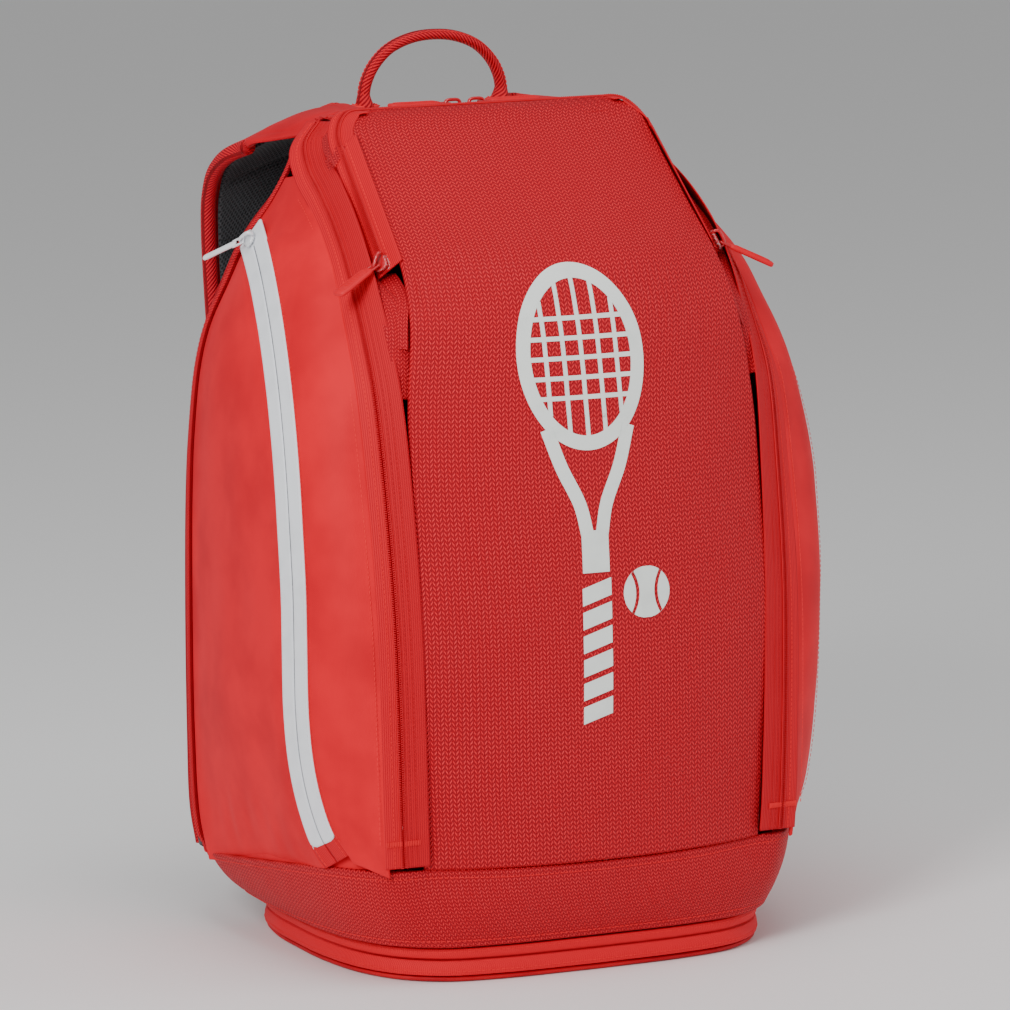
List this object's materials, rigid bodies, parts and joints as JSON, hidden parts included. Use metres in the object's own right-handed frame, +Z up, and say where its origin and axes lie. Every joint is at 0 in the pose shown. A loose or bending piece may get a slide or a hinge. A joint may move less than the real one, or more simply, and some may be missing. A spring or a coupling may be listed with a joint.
{
  "type": "racket backpack",
  "caption": "Soft padded racket backpack with clamshell main zip, front flap, side zip pockets, zipped shoe base, shoulder straps and grab handle.",
  "frame": {"origin": "on the ground under the bag, on the underside of the base panel and on the bag's left-right mirror plane, about midway front to back", "axes": "+Z up, -Y towards the bag's front panel, +Y towards the wearer, X across the bag (the bag's own left as seen from the front is -X)"},
  "size_m": [0.3618, 0.3208, 0.5438],
  "materials": {
    "jacquard_red": "zig-zag basket weave jacquard polyester, padded",
    "polyester_red": "smooth plain weave polyester with soft sheen",
    "lining_dark": "thin dark lining fabric",
    "zip_tape_red": "knitted zip tape with moulded coil",
    "zip_tape_white": "laminated white zip tape with a fine coil slit",
    "binding_red": "ribbed grosgrain binding",
    "webbing_red": "ribbed webbing",
    "mesh_black": "quilted black spacer mesh",
    "foam_back": "black mesh over foam",
    "slider_red": "red lacquered zip slider",
    "slider_white": "white lacquered zip slider",
    "pull_red": "soft moulded red pull with ribs",
    "pull_white": "thin white coated pull",
    "buckle_red": "moulded acetal ladder lock",
    "base_board": "coated base fabric over a board"
  },
  "bodies": {
    "pack_body": {"back_panel": "foam_back", "top_yoke": "polyester_red", "top_binding": "binding_red", "side_panel_left": "polyester_red", "side_panel_right": "polyester_red", "side_binding_left": "binding_red", "side_binding_right": "binding_red", "main_zip_tape_rear": "zip_tape_red", "side_zip_tape_front_left": "zip_tape_white", "side_zip_tape_front_right": "zip_tape_white", "base_band": "jacquard_red", "base_zip_tape_upper": "zip_tape_red", "base_rear_panel": "base_board", "shoe_divider": "lining_dark", "pocket_liner_left": "lining_dark", "pocket_liner_right": "lining_dark", "strap_wing_left": "polyester_red", "strap_wing_right": "polyester_red", "strap_tab_left": "polyester_red", "strap_tab_right": "polyester_red"},
    "front_pod": {"front_panel": "jacquard_red", "front_gusset_left": "jacquard_red", "front_gusset_right": "jacquard_red", "front_gusset_top": "jacquard_red", "organiser_wall": "lining_dark", "main_zip_tape_front": "zip_tape_red", "flap_zip_tape_gusset_side": "zip_tape_red"},
    "front_flap": {"front_flap_panel": "jacquard_red", "flap_zip_tape_flap_side": "zip_tape_red"},
    "base_lid": {"base_panel": "base_board", "base_zip_tape_lower": "zip_tape_red"},
    "side_pocket_left": {"pocket_panel_left": "polyester_red", "side_zip_tape_rear_left": "zip_tape_white"},
    "side_pocket_right": {"pocket_panel_right": "polyester_red", "side_zip_tape_rear_right": "zip_tape_white"},
    "grab_handle": {"grab_handle": "webbing_red"},
    "strap_left": {"strap_pad_left": "polyester_red", "strap_lining_left": "mesh_black", "ladder_lock_left": "buckle_red", "strap_webbing_left": "webbing_red"},
    "strap_right": {"strap_pad_right": "polyester_red", "strap_lining_right": "mesh_black", "ladder_lock_right": "buckle_red", "strap_webbing_right": "webbing_red"},
    "flap_zip_left_slider": {"flap_zip_left_slider": "slider_red"},
    "flap_zip_left_pull": {"flap_zip_left_pull": "pull_red"},
    "main_zip_left_slider": {"main_zip_left_slider": "slider_red"},
    "main_zip_left_pull": {"main_zip_left_pull": "pull_red"},
    "side_zip_left_slider": {"side_zip_left_slider": "slider_white"},
    "side_zip_left_pull": {"side_zip_left_pull": "pull_white"},
    "flap_zip_right_slider": {"flap_zip_right_slider": "slider_red"},
    "flap_zip_right_pull": {"flap_zip_right_pull": "pull_red"},
    "main_zip_right_slider": {"main_zip_right_slider": "slider_red"},
    "main_zip_right_pull": {"main_zip_right_pull": "pull_red"},
    "side_zip_right_slider": {"side_zip_right_slider": "slider_white"},
    "side_zip_right_pull": {"side_zip_right_pull": "pull_white"},
    "base_zip_slider": {"base_zip_slider": "slider_red"},
    "base_zip_pull": {"base_zip_pull": "pull_red"}
  },
  "joints": [
    {"name": "clamshell_open", "type": "hinge", "parent": "pack_body", "child": "front_pod", "pos_m": [0, -0.124, 0.07], "axis": [1, 0, 0], "range_deg": [0, 75]},
    {"name": "front_flap_open", "type": "hinge", "parent": "front_pod", "child": "front_flap", "pos_m": [0, -0.077, 0.43], "axis": [1, 0, 0], "range_deg": [0, 110]},
    {"name": "base_lid_open", "type": "hinge", "parent": "pack_body", "child": "base_lid", "pos_m": [0, 0.114, 0.0015], "axis": [1, 0, 0], "range_deg": [0, 75]},
    {"name": "side_pocket_open_left", "type": "hinge", "parent": "pack_body", "child": "side_pocket_left", "pos_m": [-0.171, 0.111, 0.06], "axis": [-0.0431, 0.0081, -0.999], "range_deg": [0, 18]},
    {"name": "side_pocket_open_right", "type": "hinge", "parent": "pack_body", "child": "side_pocket_right", "pos_m": [0.171, 0.111, 0.06], "axis": [-0.0431, -0.0081, 0.999], "range_deg": [0, 18]},
    {"name": "grab_handle_swing", "type": "hinge", "parent": "pack_body", "child": "grab_handle", "pos_m": [0, 0.13, 0.498], "axis": [1, 0, 0], "range_deg": [-75, 75]},
    {"name": "strap_swing_left", "type": "hinge", "parent": "pack_body", "child": "strap_left", "pos_m": [-0.092, 0.136, 0.492], "axis": [0.1094, 0, 0.994], "range_deg": [-3, 12]},
    {"name": "strap_swing_right", "type": "hinge", "parent": "pack_body", "child": "strap_right", "pos_m": [0.092, 0.136, 0.492], "axis": [-0.1094, 0, 0.994], "range_deg": [-12, 3]},
    {"name": "flap_zip_left_travel", "type": "slide", "parent": "front_flap", "child": "flap_zip_left_slider", "axis": [0.0496, 0.7587, 0.6496], "range_m": [0, 0.08]},
    {"name": "flap_zip_left_pull_swing", "type": "hinge", "parent": "flap_zip_left_slider", "child": "flap_zip_left_pull", "pos_m": [-0.11438, -0.03651, 0.42571], "axis": [-0.3287, 0.9444, 0], "range_deg": [0, 105]},
    {"name": "main_zip_left_travel", "type": "slide", "parent": "front_pod", "child": "main_zip_left_slider", "axis": [-1, 0, 0], "range_m": [0, 0.07]},
    {"name": "main_zip_left_pull_swing", "type": "hinge", "parent": "main_zip_left_slider", "child": "main_zip_left_pull", "pos_m": [-0.0106, 0.084, 0.5034], "axis": [0, 1, 0], "range_deg": [0, 120]},
    {"name": "side_zip_left_travel", "type": "hinge", "parent": "side_pocket_left", "child": "side_zip_left_slider", "pos_m": [-0.12251, 0.1453, 0.24415], "axis": [0.965, -0.2614, 0.0201], "range_deg": [0, 54]},
    {"name": "side_zip_left_pull_swing", "type": "hinge", "parent": "side_zip_left_slider", "child": "side_zip_left_pull", "pos_m": [-0.15015, 0.07811, 0.42874], "axis": [0.3862, 0.6382, 0.666], "range_deg": [0, 120]},
    {"name": "flap_zip_right_travel", "type": "slide", "parent": "front_flap", "child": "flap_zip_right_slider", "axis": [-0.0496, 0.7587, 0.6496], "range_m": [0, 0.08]},
    {"name": "flap_zip_right_pull_swing", "type": "hinge", "parent": "flap_zip_right_slider", "child": "flap_zip_right_pull", "pos_m": [0.11438, -0.03651, 0.42571], "axis": [-0.3287, -0.9444, 0], "range_deg": [0, 105]},
    {"name": "main_zip_right_travel", "type": "slide", "parent": "front_pod", "child": "main_zip_right_slider", "axis": [1, 0, 0], "range_m": [0, 0.07]},
    {"name": "main_zip_right_pull_swing", "type": "hinge", "parent": "main_zip_right_slider", "child": "main_zip_right_pull", "pos_m": [0.0106, 0.084, 0.5034], "axis": [0, -1, 0], "range_deg": [0, 120]},
    {"name": "side_zip_right_travel", "type": "hinge", "parent": "side_pocket_right", "child": "side_zip_right_slider", "pos_m": [0.12251, 0.1453, 0.24415], "axis": [0.965, 0.2614, -0.0201], "range_deg": [0, 54]},
    {"name": "side_zip_right_pull_swing", "type": "hinge", "parent": "side_zip_right_slider", "child": "side_zip_right_pull", "pos_m": [0.15015, 0.07811, 0.42874], "axis": [0.3862, -0.6382, -0.666], "range_deg": [0, 120]},
    {"name": "base_zip_travel", "type": "slide", "parent": "pack_body", "child": "base_zip_slider", "axis": [0, 1, 0], "range_m": [-0.035, 0.035]},
    {"name": "base_zip_pull_swing", "type": "hinge", "parent": "base_zip_slider", "child": "base_zip_pull", "pos_m": [0.1451, 0.0276, 0.014], "axis": [0, 0, -1], "range_deg": [0, 140]}
  ]
}
